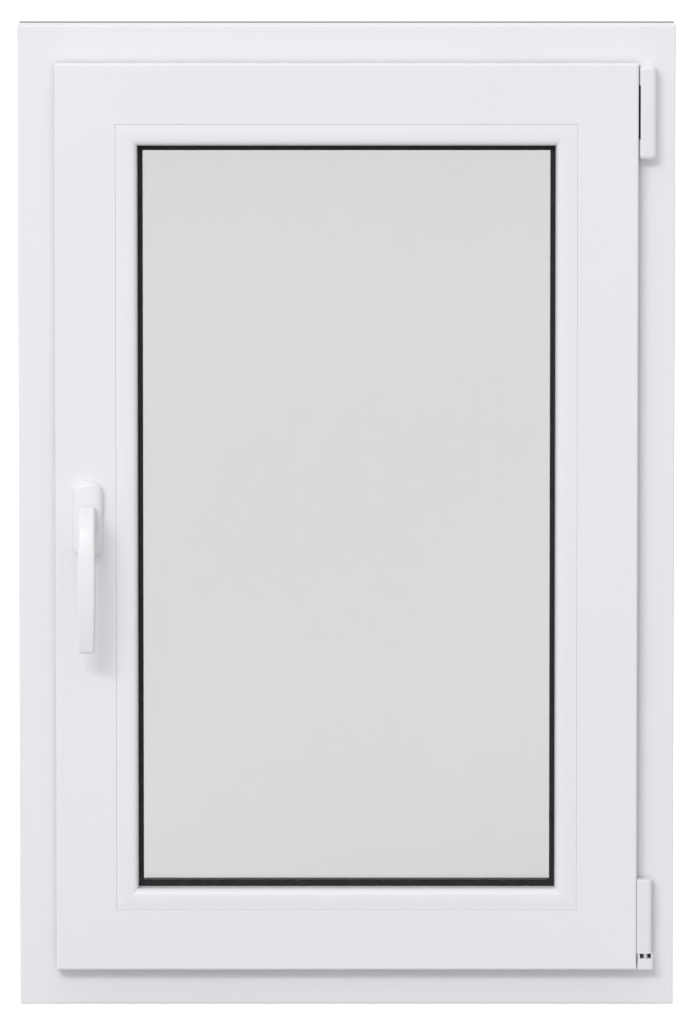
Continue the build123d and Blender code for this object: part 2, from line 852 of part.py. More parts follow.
def build():
    """Every node of the window by name."""
    nodes = {}
    groups = (
        profile_nodes, seal_nodes, glazing_nodes, steel_nodes, handle_nodes, hinge_nodes, drain_nodes,
    )
    for group in groups:
        nodes.update(group())
    return nodes


def write(nodes):
    """One STEP file for each node."""
    os.makedirs("parts", exist_ok=True)
    for name, shape in nodes.items():
        export_step(shape, f"parts/{name}.step")


write(build())
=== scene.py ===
import logging
import math
from dataclasses import dataclass, field
from enum import Enum

import bmesh
import bpy
from mathutils import Matrix, Vector


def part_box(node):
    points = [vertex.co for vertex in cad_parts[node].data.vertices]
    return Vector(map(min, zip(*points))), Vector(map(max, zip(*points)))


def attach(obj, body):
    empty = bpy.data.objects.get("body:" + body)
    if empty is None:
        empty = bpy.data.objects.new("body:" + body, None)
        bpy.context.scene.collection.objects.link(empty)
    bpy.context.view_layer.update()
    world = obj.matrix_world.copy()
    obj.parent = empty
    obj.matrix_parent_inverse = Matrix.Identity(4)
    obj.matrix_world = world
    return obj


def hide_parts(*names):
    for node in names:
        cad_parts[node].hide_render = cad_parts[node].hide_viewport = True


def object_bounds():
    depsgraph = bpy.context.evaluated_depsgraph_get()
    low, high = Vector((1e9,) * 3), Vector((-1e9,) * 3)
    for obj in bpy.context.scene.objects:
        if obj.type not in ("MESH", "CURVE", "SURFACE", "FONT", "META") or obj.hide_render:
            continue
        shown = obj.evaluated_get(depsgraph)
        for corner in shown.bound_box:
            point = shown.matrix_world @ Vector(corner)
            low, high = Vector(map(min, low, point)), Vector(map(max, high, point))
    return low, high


# The looks of a white plastic tilt and turn basement window, seen from the room.
# Metres, Z up, the room side faces -Y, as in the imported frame.

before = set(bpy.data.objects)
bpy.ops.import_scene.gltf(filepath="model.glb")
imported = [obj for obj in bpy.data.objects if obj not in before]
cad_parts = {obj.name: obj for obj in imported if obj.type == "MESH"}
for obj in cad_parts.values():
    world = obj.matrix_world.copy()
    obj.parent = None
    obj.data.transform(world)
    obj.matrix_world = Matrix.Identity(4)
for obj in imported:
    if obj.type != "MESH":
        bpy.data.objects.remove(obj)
cad_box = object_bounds()

LOG = logging.getLogger("basement_window")

MERGE_DISTANCE = 0.000005
CREASE_ANGLE = math.radians(38.0)
FACING_ROOM = Matrix.Rotation(math.pi / 2, 4, "X")
CORNER_STEPS = 12
RIM_STEPS = 9
HAND_STEPS = 7
SASH_STEPS = 4

ROUND_PROFILE = 0.5
UNIT_SQUARE = 0.5
NOISE_LOW = 0.3
NOISE_HIGH = 0.7
MIX_COLOUR_A, MIX_COLOUR_B, MIX_COLOUR_RESULT = 6, 7, 2
MIX_FLOAT_A, MIX_FLOAT_B = 2, 3

Colour = tuple[float, float, float]
Triple = tuple[float, float, float]
Range = tuple[float, float]
Point = tuple[float, float]
Socket = bpy.types.NodeSocket


class Run(Enum):
    """Direction in which a plastic profile was extruded, as the stretch of its lines."""

    LEVEL = (1.0, 60.0, 60.0)
    UPRIGHT = (60.0, 60.0, 1.0)


class Body(Enum):
    """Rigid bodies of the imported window."""

    WINDOW = "window"
    HANDLE = "handle"


class Slot(Enum):
    """Names of material slots, kept with the modelled pieces."""

    LACQUER = "white_lacquer"
    CAP = "white_cap"


class Recipe:
    """One material while its nodes are laid out."""

    def __init__(self, name: str) -> None:
        """Starts an empty node tree with an output and object coordinates.

        Args:
            name: Name of the material.
        """
        self.material = bpy.data.materials.new(name)
        self.material.use_nodes = True
        self.tree = self.material.node_tree
        self.tree.nodes.clear()
        self.output = self.tree.nodes.new("ShaderNodeOutputMaterial")
        self.place = self.tree.nodes.new("ShaderNodeTexCoord").outputs["Object"]

    def add(self, kind: str, **inputs: object) -> bpy.types.ShaderNode:
        """Adds a node and fills its inputs.

        Args:
            kind: Blender's name of the node type.
            **inputs: Values or sockets, by input name with underscores for spaces.

        Returns:
            The new node.
        """
        node = self.tree.nodes.new(kind)
        for name, value in inputs.items():
            self.feed(node.inputs[name.replace("_", " ")], value)
        return node

    def feed(self, target: Socket, value: object) -> None:
        """Links a socket to an input, or writes a constant into it.

        Args:
            target: Input socket.
            value: Output socket, number, colour or vector.
        """
        if isinstance(value, bpy.types.NodeSocket):
            self.tree.links.new(value, target)
        elif isinstance(value, tuple) and target.type == "RGBA":
            target.default_value = (*value, 1.0)
        else:
            target.default_value = value

    def noise(
        self, scale: float, detail: float = 2.0, stretch: Triple = (1.0, 1.0, 1.0),
    ) -> Socket:
        """Adds soft noise on object coordinates.

        Args:
            scale: Features per metre before stretching.
            detail: Octaves of the noise.
            stretch: Scale of the coordinates along X, Y and Z.

        Returns:
            Socket of the noise, from 0 to 1.
        """
        mapping = self.add("ShaderNodeMapping", Vector=self.place, Scale=stretch)
        texture = self.add(
            "ShaderNodeTexNoise", Vector=mapping.outputs["Vector"], Scale=scale, Detail=detail,
        )
        return texture.outputs["Fac"]

    def between(self, factor: Socket, low: float, high: float) -> Socket:
        """Turns the middle of a noise into a range of values.

        Args:
            factor: Noise socket.
            low: Value where the noise is low.
            high: Value where the noise is high.

        Returns:
            Socket of the value.
        """
        spread = self.add("ShaderNodeMapRange", Value=factor)
        ends = {"From Min": NOISE_LOW, "From Max": NOISE_HIGH, "To Min": low, "To Max": high}
        for name, value in ends.items():
            spread.inputs[name].default_value = value
        return spread.outputs["Result"]

    def shade(self, factor: Socket, low: Colour, high: Colour) -> Socket:
        """Mixes two colours by a noise.

        Args:
            factor: Noise socket.
            low: Colour where the noise is low.
            high: Colour where the noise is high.

        Returns:
            Socket of the colour.
        """
        mix = self.tree.nodes.new("ShaderNodeMix")
        mix.data_type = "RGBA"
        self.feed(mix.inputs["Factor"], self.between(factor, 0.0, 1.0))
        self.feed(mix.inputs[MIX_COLOUR_A], low)
        self.feed(mix.inputs[MIX_COLOUR_B], high)
        return mix.outputs[MIX_COLOUR_RESULT]

    def bump(
        self, height: Socket, strength: float, depth: float, under: Socket | None = None,
    ) -> Socket:
        """Adds a bump.

        Args:
            height: Socket of the height.
            strength: Strength of the bump.
            depth: Height of the full bump in metres.
            under: Normal that this bump lies on.

        Returns:
            Socket of the normal.
        """
        node = self.add("ShaderNodeBump", Height=height, Strength=strength, Distance=depth)
        if under is not None:
            self.feed(node.inputs["Normal"], under)
        return node.outputs["Normal"]

    def finish(self, **inputs: object) -> bpy.types.Material:
        """Closes the material with a Principled shader.

        Args:
            **inputs: Inputs of the shader, by name with underscores for spaces.

        Returns:
            The material.
        """
        shader = self.add("ShaderNodeBsdfPrincipled", **inputs)
        self.feed(self.output.inputs["Surface"], shader.outputs["BSDF"])
        return self.material


@dataclass(frozen=True)
class ExtrudedWhite:
    """White profile plastic with faint lines along its length."""

    run: Run
    light: Colour = (0.858, 0.866, 0.897)
    deep: Colour = (0.840, 0.849, 0.880)
    roughness: Range = (0.30, 0.37)
    cloud_scale: float = 5.0
    line_scale: float = 14.0
    line_strength: float = 0.35
    line_depth: float = 0.00002
    grain_scale: float = 2200.0
    grain_strength: float = 0.25
    grain_depth: float = 0.000012

    def make(self) -> bpy.types.Material:
        """Returns the material, with its lines along the run of the profile."""
        recipe = Recipe(f"profile_white_{self.run.name.lower()}")
        cloud = recipe.noise(self.cloud_scale, detail=3.0)
        lines = recipe.noise(self.line_scale, detail=3.0, stretch=self.run.value)
        grain = recipe.noise(self.grain_scale, detail=1.0)
        normal = recipe.bump(lines, self.line_strength, self.line_depth)
        normal = recipe.bump(grain, self.grain_strength, self.grain_depth, normal)
        return recipe.finish(
            Base_Color=recipe.shade(cloud, self.deep, self.light),
            Roughness=recipe.between(lines, *self.roughness),
            Normal=normal,
        )


@dataclass(frozen=True)
class MouldedWhite:
    """White moulded plastic of caps and covers, with a fine spark-eroded grain."""

    light: Colour = (0.832, 0.840, 0.862)
    deep: Colour = (0.812, 0.820, 0.843)
    roughness: Range = (0.27, 0.36)
    cloud_scale: float = 30.0
    grain_scale: float = 3200.0
    grain_strength: float = 0.3
    grain_depth: float = 0.00003

    def make(self) -> bpy.types.Material:
        """Returns the material."""
        recipe = Recipe("moulded_white")
        cloud = recipe.noise(self.cloud_scale)
        grain = recipe.noise(self.grain_scale)
        return recipe.finish(
            Base_Color=recipe.shade(cloud, self.deep, self.light),
            Roughness=recipe.between(grain, *self.roughness),
            Normal=recipe.bump(grain, self.grain_strength, self.grain_depth),
        )


@dataclass(frozen=True)
class WhiteLacquer:
    """White powder coat of the handle, with a soft orange peel under a clear gloss."""

    light: Colour = (0.866, 0.872, 0.894)
    deep: Colour = (0.848, 0.855, 0.878)
    roughness: Range = (0.30, 0.38)
    coat: float = 0.12
    coat_roughness: float = 0.28
    cloud_scale: float = 40.0
    peel_scale: float = 650.0
    peel_strength: float = 0.25
    peel_depth: float = 0.00006

    def make(self) -> bpy.types.Material:
        """Returns the material."""
        recipe = Recipe("white_powder_coat")
        cloud = recipe.noise(self.cloud_scale)
        peel = recipe.noise(self.peel_scale, detail=1.0)
        return recipe.finish(
            Base_Color=recipe.shade(cloud, self.deep, self.light),
            Roughness=recipe.between(peel, *self.roughness),
            Coat_Weight=self.coat,
            Coat_Roughness=self.coat_roughness,
            Normal=recipe.bump(peel, self.peel_strength, self.peel_depth),
        )


@dataclass(frozen=True)
class SealRubber:
    """Black seal rubber with a dull skin."""

    light: Colour = (0.022, 0.022, 0.024)
    deep: Colour = (0.012, 0.012, 0.013)
    roughness: Range = (0.60, 0.76)
    specular: float = 0.2
    cloud_scale: float = 90.0
    skin_scale: float = 1500.0
    skin_strength: float = 0.35
    skin_depth: float = 0.00005

    def make(self) -> bpy.types.Material:
        """Returns the material."""
        recipe = Recipe("seal_rubber")
        cloud = recipe.noise(self.cloud_scale, detail=3.0)
        skin = recipe.noise(self.skin_scale)
        return recipe.finish(
            Base_Color=recipe.shade(cloud, self.deep, self.light),
            Roughness=recipe.between(skin, *self.roughness),
            Specular_IOR_Level=self.specular,
            Normal=recipe.bump(skin, self.skin_strength, self.skin_depth),
        )


@dataclass(frozen=True)
class FoamStrip:
    """Dark open-pored sealing strip on the outside edge."""

    light: Colour = (0.026, 0.026, 0.028)
    deep: Colour = (0.010, 0.010, 0.011)
    roughness: Range = (0.88, 0.98)
    specular: float = 0.0
    cloud_scale: float = 60.0
    pore_scale: float = 900.0
    pore_strength: float = 0.6
    pore_depth: float = 0.0003

    def make(self) -> bpy.types.Material:
        """Returns the material."""
        recipe = Recipe("foam_strip")
        pores = recipe.add("ShaderNodeTexVoronoi", Vector=recipe.place, Scale=self.pore_scale)
        cloud = recipe.noise(self.cloud_scale, detail=3.0)
        return recipe.finish(
            Base_Color=recipe.shade(cloud, self.deep, self.light),
            Roughness=recipe.between(cloud, *self.roughness),
            Specular_IOR_Level=self.specular,
            Normal=recipe.bump(pores.outputs["Distance"], self.pore_strength, self.pore_depth),
        )


@dataclass(frozen=True)
class SheetSteel:
    """Zinc-coated steel: spangled sheet inside the profiles, finer plating on fittings."""

    name: str
    spangle: float
    light: Colour = (0.66, 0.67, 0.69)
    deep: Colour = (0.47, 0.48, 0.50)
    roughness: Range = (0.30, 0.48)
    scratch_scale: float = 40.0
    scratch_stretch: Triple = (30.0, 30.0, 1.0)
    scratch_strength: float = 0.2
    scratch_depth: float = 0.00003

    def make(self) -> bpy.types.Material:
        """Returns the material."""
        recipe = Recipe(self.name)
        flakes = recipe.add("ShaderNodeTexVoronoi", Vector=recipe.place, Scale=self.spangle)
        split = recipe.add("ShaderNodeSeparateColor", Color=flakes.outputs["Color"])
        scratches = recipe.noise(self.scratch_scale, detail=4.0, stretch=self.scratch_stretch)
        return recipe.finish(
            Base_Color=recipe.shade(split.outputs["Red"], self.deep, self.light),
            Metallic=1.0,
            Roughness=recipe.between(scratches, *self.roughness),
            Normal=recipe.bump(scratches, self.scratch_strength, self.scratch_depth),
        )


@dataclass(frozen=True)
class FloatGlass:
    """Clear float glass with the faintest drift in its tint."""

    light: Colour = (0.722, 0.721, 0.721)
    deep: Colour = (0.711, 0.721, 0.717)
    refraction: float = 1.5
    drift_scale: float = 3.0
    wave_scale: float = 4.0
    wave_strength: float = 0.02
    wave_depth: float = 0.0002

    def make(self) -> bpy.types.Material:
        """Returns the material."""
        recipe = Recipe("float_glass")
        drift = recipe.noise(self.drift_scale)
        wave = recipe.noise(self.wave_scale, detail=1.0)
        return recipe.finish(
            Base_Color=recipe.shade(drift, self.deep, self.light),
            Roughness=0.0,
            IOR=self.refraction,
            Transmission_Weight=1.0,
            Normal=recipe.bump(wave, self.wave_strength, self.wave_depth),
        )


@dataclass(frozen=True)
class DullPlastic:
    """Plain dull plastic of spacers, packers and bearings."""

    name: str
    light: Colour
    deep: Colour
    roughness: Range = (0.45, 0.62)
    specular: float = 0.45
    cloud_scale: float = 80.0
    grain_scale: float = 1200.0
    grain_strength: float = 0.3
    grain_depth: float = 0.00004

    def make(self) -> bpy.types.Material:
        """Returns the material."""
        recipe = Recipe(self.name)
        cloud = recipe.noise(self.cloud_scale)
        grain = recipe.noise(self.grain_scale)
        return recipe.finish(
            Base_Color=recipe.shade(cloud, self.deep, self.light),
            Roughness=recipe.between(grain, *self.roughness),
            Specular_IOR_Level=self.specular,
            Normal=recipe.bump(grain, self.grain_strength, self.grain_depth),
        )


SPACER_BLACK = DullPlastic("spacer_black", (0.035, 0.035, 0.036), (0.018, 0.018, 0.019))
PACKER_BLUE = DullPlastic("packer_blue", (0.06, 0.16, 0.38), (0.04, 0.12, 0.31))
# Black of the upper hinge arm: partly its own coating, partly painted shade that darkens the
# inside of the cover's slot.
ARM_BLACK_WITH_SLOT_SHADE = DullPlastic("arm_black_with_slot_shade", (0.035, 0.035, 0.037), (0.022, 0.022, 0.024))
# Near-black bearing collar: partly its own plastic, partly painted shade that darkens the gap
# round the lower hinge pin.
BEARING_GREY_WITH_GAP_SHADE = DullPlastic("bearing_grey_with_gap_shade", (0.05, 0.05, 0.055), (0.03, 0.03, 0.033))
GALVANISED_SHEET = SheetSteel("galvanised_sheet", 120.0)
ZINC_PLATING = SheetSteel("zinc_plating", 700.0)


def dress(node: str, material: bpy.types.Material) -> None:
    """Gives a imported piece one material.

    Args:
        node: Name of the piece.
        material: Material that takes every slot of the piece.
    """
    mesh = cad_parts[node].data
    for index in range(len(mesh.materials)):
        mesh.materials[index] = material
    LOG.info("%s dressed in %s", node, material.name)


@dataclass
class ProfileRings:
    """The outer frame, the sash and the glazing beads, four mitred lengths each."""

    rings: tuple[str, ...] = ("frame", "sash", "bead")
    level_sides: tuple[str, ...] = ("top", "bottom")
    upright_sides: tuple[str, ...] = ("left", "right")

    def build(self) -> None:
        """Dresses each length in white with its lines along its own run."""
        level = ExtrudedWhite(Run.LEVEL).make()
        upright = ExtrudedWhite(Run.UPRIGHT).make()
        for ring in self.rings:
            for side in self.level_sides:
                dress(f"{ring}_{side}", level)
            for side in self.upright_sides:
                dress(f"{ring}_{side}", upright)


@dataclass
class Seals:
    """Seals round the glass, between sash and frame, and on the outside edge."""

    rubber_nodes: tuple[str, ...] = ("bead_gasket", "outer_gasket", "sash_seal", "frame_seal")
    strip_sides: tuple[str, ...] = ("top", "bottom", "left", "right")

    def build(self) -> None:
        """Dresses the rubber seals and the foam strips."""
        rubber = SealRubber().make()
        for node in self.rubber_nodes:
            dress(node, rubber)
        foam = FoamStrip().make()
        for side in self.strip_sides:
            dress(f"edge_strip_{side}", foam)


@dataclass
class Glazing:
    """The sealed double pane with its spacer and packers."""

    panes: tuple[str, ...] = ("inner_pane", "outer_pane")

    def build(self) -> None:
        """Dresses panes, spacer and packers."""
        glass = FloatGlass().make()
        for node in self.panes:
            dress(node, glass)
        dress("glass_spacer", SPACER_BLACK.make())
        dress("glazing_blocks", PACKER_BLUE.make())


@dataclass
class HiddenSteel:
    """Steel inside the profiles."""

    nodes: tuple[str, ...] = ("frame_steel", "sash_steel")

    def build(self) -> None:
        """Dresses the steel boxes in galvanised sheet."""
        sheet = GALVANISED_SHEET.make()
        for node in self.nodes:
            dress(node, sheet)


@dataclass(frozen=True)
class Place:
    """What a modelled piece stands for, and how it belongs to the window."""

    name: str
    node: str
    body: Body
    slot: Slot

    def settle(self, piece: bmesh.types.BMesh, material: bpy.types.Material) -> None:
        """Makes a smooth object of a finished bmesh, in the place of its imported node.

        Args:
            piece: Closed mesh in its place, in metres.
            material: Finish of the piece.
        """
        bmesh.ops.remove_doubles(piece, verts=piece.verts, dist=MERGE_DISTANCE)
        bmesh.ops.recalc_face_normals(piece, faces=piece.faces)
        for face in piece.faces:
            face.smooth = True
        for edge in piece.edges:
            edge.smooth = edge.calc_face_angle(0.0) < CREASE_ANGLE
        mesh = bpy.data.meshes.new(self.name)
        piece.to_mesh(mesh)
        piece.free()
        mesh.materials.append(material)
        whole = bpy.data.objects.new(self.name, mesh)
        bpy.context.collection.objects.link(whole)
        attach(whole, self.body.value)
        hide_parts(self.node)
        LOG.info("%s modelled: %d faces", self.name, len(mesh.polygons))


def round_edges(
    piece: bmesh.types.BMesh, edges: list[bmesh.types.BMEdge], radius: float, steps: int,
) -> None:
    """Rounds edges of a piece.

    Args:
        piece: Mesh under work.
        edges: Edges that are rounded together.
        radius: Radius in metres.
        steps: Facets across the round.
    """
    bmesh.ops.bevel(
        piece, geom=edges, offset=radius, offset_type="OFFSET", segments=steps,
        profile=ROUND_PROFILE, affect="EDGES", material=-1, clamp_overlap=True,
    )


def rounded_block(
    piece: bmesh.types.BMesh, low: Vector, high: Vector, corner: float, rim: float,
) -> None:
    """Makes a block with round corners seen from the room, and a round rim on its room side.

    Args:
        piece: Empty mesh.
        low: Lowest corner of the block.
        high: Highest corner of the block.
        corner: Radius of the four corners.
        rim: Radius of the rim.
    """
    size = high - low
    middle = (low + high) / 2
    stand = Matrix.Translation((middle.x, high.y, middle.z)) @ FACING_ROOM
    outline = bmesh.ops.create_grid(
        piece, x_segments=1, y_segments=1, size=UNIT_SQUARE,
        matrix=stand @ Matrix.Diagonal((size.x, size.z, 1.0, 1.0)),
    )
    bmesh.ops.bevel(
        piece, geom=outline["verts"], offset=corner, offset_type="OFFSET",
        segments=CORNER_STEPS, profile=ROUND_PROFILE, affect="VERTICES", material=-1,
    )
    raised = bmesh.ops.extrude_face_region(piece, geom=piece.faces[:])
    lifted = [part for part in raised["geom"] if isinstance(part, bmesh.types.BMVert)]
    bmesh.ops.translate(piece, vec=(0.0, -size.y, 0.0), verts=lifted)
    front = [
        edge for edge in piece.edges
        if all(vert.co.y < low.y + MERGE_DISTANCE for vert in edge.verts)
    ]
    round_edges(piece, front, rim, RIM_STEPS)


def draw_out(piece: bmesh.types.BMesh, face: bmesh.types.BMFace) -> bmesh.types.BMFace:
    """Extrudes one face, and leaves no wall behind it inside the piece.

    Args:
        piece: Mesh under work.
        face: Face that is drawn out.

    Returns:
        The new face, still in the place of the old one.
    """
    closed = all(len(edge.link_faces) > 1 for edge in face.edges)
    drawn = bmesh.ops.extrude_face_region(piece, geom=[face])
    if closed and face.is_valid:
        bmesh.ops.delete(piece, geom=[face], context="FACES_ONLY")
    return next(part for part in drawn["geom"] if isinstance(part, bmesh.types.BMFace))


def spindle_axis() -> Vector:
    """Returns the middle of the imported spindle, on whose line the handle turns."""
    low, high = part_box("handle_spindle")
    return (low + high) / 2


@dataclass
class Rosette:
    """Softly rounded plate of the handle, with the bore that the lever turns in."""

    corner: float = 0.012
    rim: float = 0.0062
    bore: float = 0.0078
    bore_depth: float = 0.006
    place: Place = Place("rosette", "handle_rosette", Body.WINDOW, Slot.LACQUER)

    def build(self, material: bpy.types.Material) -> None:
        """Makes the plate.

        Args:
            material: Finish of the plate.
        """
        low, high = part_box(self.place.node)
        piece = bmesh.new()
        rounded_block(piece, low, high, self.corner, self.rim)
        self.open_bore(piece, low.y)
        self.place.settle(piece, material)

    def open_bore(self, piece: bmesh.types.BMesh, front_y: float) -> None:
        """Opens the bore in the front face.

        Args:
            piece: Mesh of the plate.
            front_y: Where the front face lies.
        """
        axis = spindle_axis()
        flat = [
            face for face in piece.faces
            if face.calc_center_median().y < front_y + MERGE_DISTANCE
        ]
        front = max(flat, key=lambda face: face.calc_area())
        rim = front.edges[:]
        bmesh.ops.delete(piece, geom=[front], context="FACES_ONLY")
        ring = bmesh.ops.create_circle(
            piece, cap_ends=False, segments=len(rim), radius=self.bore,
            matrix=Matrix.Translation((axis.x, front_y, axis.z)) @ FACING_ROOM,
        )
        mouth = list({edge for vert in ring["verts"] for edge in vert.link_edges})
        bmesh.ops.bridge_loops(piece, edges=rim + mouth)
        sunk = bmesh.ops.extrude_edge_only(piece, edges=mouth)
        floor = [part for part in sunk["geom"] if isinstance(part, bmesh.types.BMVert)]
        bmesh.ops.translate(piece, vec=(0.0, self.bore_depth, 0.0), verts=floor)
        bottom = [part for part in sunk["geom"] if isinstance(part, bmesh.types.BMEdge)]
        bmesh.ops.contextual_create(piece, geom=bottom)


@dataclass
class Lever:
    """Bent lever of the handle, from the collar over the bend to the bowed grip.

    Its side path is in (y, z), with z from the spindle axis: an outer line on the side
    of the hand and an inner line on the side of the sash.
    """

    half_neck: float = 0.013
    reach: float = 0.056
    crest: float = -0.058
    length: float = 0.120
    arch_radius: float = 0.190
    bend_tilt: float = math.radians(15.0)
    inner_bend: float = 0.016
    thickness: float = 0.012
    end_thickness: float = 0.0095
    neck_width: float = 0.0152
    crest_width: float = 0.0166
    end_width: float = 0.0146
    hand_round: float = 0.0034
    sash_round: float = 0.0018
    collar_radius: float = 0.0095
    collar_thickness: float = 0.002
    collar_edge: float = 0.0004
    running_gap: float = 0.0003
    neck_radius: float = 0.0075
    neck_depth: float = 0.006
    bend_steps: int = 12
    arch_steps: int = 28
    round_steps: int = 60
    place: Place = Place("lever", "handle_lever", Body.HANDLE, Slot.LACQUER)
    axis: Vector = field(init=False)
    rosette_y: float = field(init=False)
    root_y: float = field(init=False)
    arch_y: float = field(init=False)
    arch_end: float = field(init=False)
    outer_arc: Triple = field(init=False)
    inner_arc: Triple = field(init=False)
    inner_start: float = field(init=False)

    def __post_init__(self) -> None:
        """Works out the arcs of the side path."""
        self.axis = spindle_axis()
        self.rosette_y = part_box("handle_rosette")[0].y
        self.root_y = self.rosette_y - self.running_gap - self.collar_thickness
        self.arch_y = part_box("sash_left")[0].y - self.reach + self.arch_radius
        self.arch_end = -math.asin((self.length + self.crest) / self.arch_radius)
        start = self.on_arch(self.arch_radius, self.bend_tilt)
        rise = (self.half_neck - start[1]) / (1.0 - math.sin(self.bend_tilt))
        centre_y = start[0] + rise * math.cos(self.bend_tilt)
        self.outer_arc = (centre_y, self.half_neck - rise, rise)
        lean = self.bend_tilt / 2
        centre_z = -self.half_neck - self.inner_bend
        back_y = self.arch_y - self.arch_radius + self.thickness
        back_y += (centre_z - self.crest) * math.tan(lean)
        self.inner_arc = (back_y + self.inner_bend / math.cos(lean), centre_z, self.inner_bend)
        end = self.on_bend(self.inner_arc, math.pi / 2 - lean)
        self.inner_start = math.atan2(end[1] - self.crest, self.arch_y - end[0])

    def on_bend(self, arc: Triple, angle: float) -> Point:
        """Gives a point on a bend.

        Args:
            arc: Centre of the bend in (y, z), and its radius.
            angle: Turn from the top towards the hand.

        Returns:
            The point in (y, z).
        """
        return (arc[0] - arc[2] * math.sin(angle), arc[1] + arc[2] * math.cos(angle))

    def on_arch(self, radius: float, angle: float) -> Point:
        """Gives a point on the arch of the grip.

        Args:
            radius: Distance from the centre of the arch.
            angle: Turn above the crest.

        Returns:
            The point in (y, z).
        """
        return (self.arch_y - radius * math.cos(angle), self.crest + radius * math.sin(angle))

    def inner_radius(self, angle: float) -> float:
        """Gives the grip's inner line, straight above the crest and closer to the hand below it.

        Args:
            angle: Turn above the crest.

        Returns:
            Distance of the inner line from the centre of the arch.
        """
        inner = self.arch_radius - self.thickness
        if angle > 0.0:
            lean = self.bend_tilt / 2
            return inner * math.cos(lean) / math.cos(angle - lean)
        return inner + (self.thickness - self.end_thickness) * angle / self.arch_end

    def width_at(self, height: float) -> float:
        """Gives the width of the lever, widest at its crest.

        Args:
            height: Height over the spindle axis.

        Returns:
            Width across the lever at that height.
        """
        end, span = self.end_width, self.length + self.crest
        if height > self.crest:
            end, span = self.neck_width, self.half_neck - self.crest
        share = (height - self.crest) / span
        return self.crest_width + (end - self.crest_width) * share ** 2

    def section(self, outer: Point, inner: Point) -> Matrix:
        """Gives the frame of one section.

        Args:
            outer: Point on the side of the hand.
            inner: Point on the side of the sash.

        Returns:
            Frame that takes a unit square in X and Z to the section.
        """
        middle = ((outer[0] + inner[0]) / 2, (outer[1] + inner[1]) / 2)
        across = (outer[0] - inner[0], outer[1] - inner[1])
        return Matrix((
            (self.width_at(middle[1]), 0.0, 0.0, self.axis.x),
            (0.0, across[1], across[0], middle[0]),
            (0.0, -across[0], across[1], self.axis.z + middle[1]),
            (0.0, 0.0, 0.0, 1.0),
        ))

    def sections(self) -> list[Matrix]:
        """Works out where the section of the lever stands along its path.

        Returns:
            Frames from the root to the end.
        """
        pairs = [((self.root_y, self.half_neck), (self.root_y, -self.half_neck))]
        outer_turn = math.pi / 2 - self.bend_tilt
        inner_turn = math.pi / 2 - self.bend_tilt / 2
        for step in range(self.bend_steps + 1):
            share = step / self.bend_steps
            outer = self.on_bend(self.outer_arc, outer_turn * share)
            inner = self.on_bend(self.inner_arc, inner_turn * share)
            pairs.append((outer, inner))
        for step in range(1, self.arch_steps + 1):
            share = step / self.arch_steps
            outer_angle = self.bend_tilt + (self.arch_end - self.bend_tilt) * share
            inner_angle = self.inner_start + (self.arch_end - self.inner_start) * share
            outer = self.on_arch(self.arch_radius, outer_angle)
            inner = self.on_arch(self.inner_radius(inner_angle), inner_angle)
            pairs.append((outer, inner))
        return [self.section(outer, inner) for outer, inner in pairs]

    def build(self, material: bpy.types.Material) -> None:
        """Makes the lever with its collar and neck.

        Args:
            material: Finish of the lever.
        """
        piece = bmesh.new()
        self.draw_grip(piece)
        self.add_collar(piece)
        self.place.settle(piece, material)

    def draw_grip(self, piece: bmesh.types.BMesh) -> None:
        """Draws the section along its path, then rounds the edges on both sides.

        Args:
            piece: Empty mesh.
        """
        frames = self.sections()
        bmesh.ops.create_grid(
            piece, x_segments=1, y_segments=1, size=UNIT_SQUARE, matrix=frames[0] @ FACING_ROOM,
        )
        front = piece.faces[:][0]
        sides = {vert: frames[0].inverted() @ vert.co for vert in front.verts}
        for before, after in zip(frames, frames[1:]):
            front = draw_out(piece, front)
            sides.update({vert: before.inverted() @ vert.co for vert in front.verts})
            bmesh.ops.transform(piece, matrix=after @ before.inverted(), verts=front.verts[:])
        hand_side = []
        sash_side = []
        for edge in piece.edges:
            first, second = (sides[vert] for vert in edge.verts)
            if first.x * second.x > 0.0 and first.z * second.z > 0.0:
                (hand_side if first.z > 0.0 else sash_side).append(edge)
        round_edges(piece, hand_side + front.edges[:], self.hand_round, HAND_STEPS)
        left_whole = [edge for edge in sash_side if edge.is_valid]
        round_edges(piece, left_whole, self.sash_round, SASH_STEPS)

    def add_collar(self, piece: bmesh.types.BMesh) -> None:
        """Adds the round collar and the neck that turns in the rosette.

        Args:
            piece: Mesh of the lever.
        """
        sunk = self.root_y - self.collar_edge
        disc = bmesh.ops.create_circle(
            piece, cap_ends=True, segments=self.round_steps, radius=self.collar_radius,
            matrix=Matrix.Translation((self.axis.x, sunk, self.axis.z)) @ FACING_ROOM,
        )
        face = disc["verts"][0].link_faces[0]
        collar_end = self.rosette_y - self.running_gap
        radius = self.collar_radius
        for reach, wanted in (
            (collar_end - self.collar_edge, self.collar_radius),
            (collar_end, self.collar_radius - self.collar_edge),
            (collar_end, self.neck_radius),
            (self.rosette_y + self.neck_depth, self.neck_radius),
        ):
            face = draw_out(piece, face)
            centre = face.calc_center_median()
            bmesh.ops.scale(
                piece, vec=(wanted / radius, 1.0, wanted / radius), verts=face.verts[:],
                space=Matrix.Translation(-centre),
            )
            bmesh.ops.translate(piece, vec=(0.0, reach - centre.y, 0.0), verts=face.verts[:])
            radius = wanted


